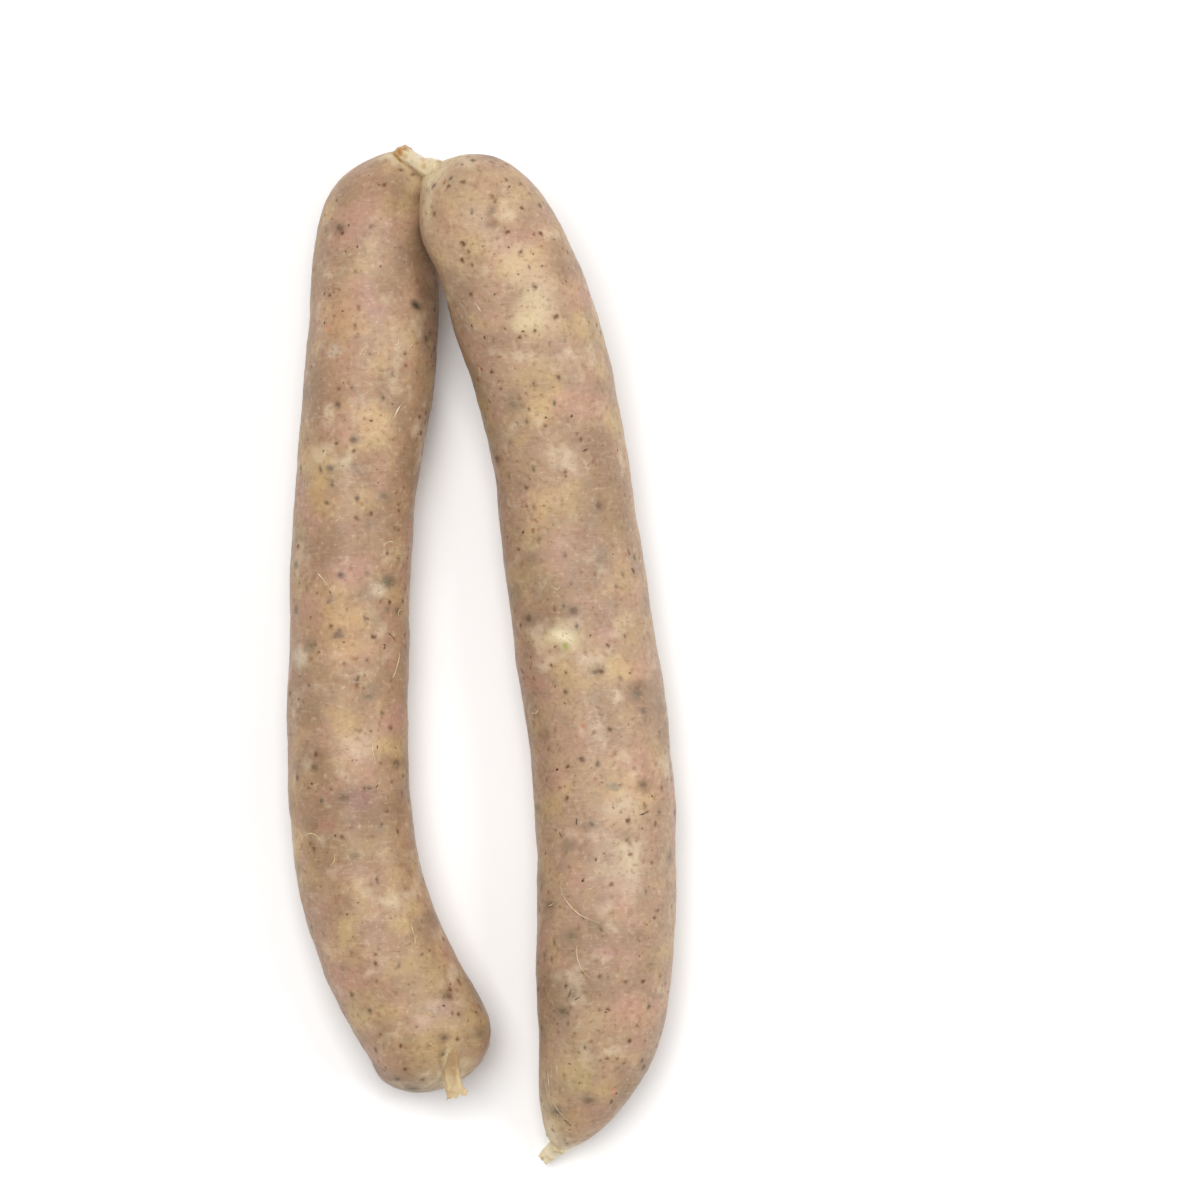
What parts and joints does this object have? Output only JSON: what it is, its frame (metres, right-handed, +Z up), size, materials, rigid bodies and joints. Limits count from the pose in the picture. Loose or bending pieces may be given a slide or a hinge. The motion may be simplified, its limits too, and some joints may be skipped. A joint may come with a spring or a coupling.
{
  "type": "string of sausage links",
  "caption": "Raw herb sausages joined as a string: long curved links of filled natural casing, a twist of bare casing between them and cut casing ends, lying flat.",
  "frame": {"origin": "middle of the underside of the box around the string, on the surface it lies on", "axes": "+Y along the links towards the twist that joins them, +X towards the link that leans on the other, +Z up"},
  "size_m": [0.0777, 0.2051, 0.0372],
  "materials": {
    "filled_casing": "pale raw pork with herbs under a thin natural casing, soft satin",
    "bare_casing": "cream natural casing, twisted or cut, slightly glossy"
  },
  "bodies": {
    "root": {"link_left": "filled_casing", "link_right": "filled_casing", "casing_twist": "bare_casing", "casing_end_left": "bare_casing", "casing_end_right": "bare_casing"}
  },
  "joints": []
}
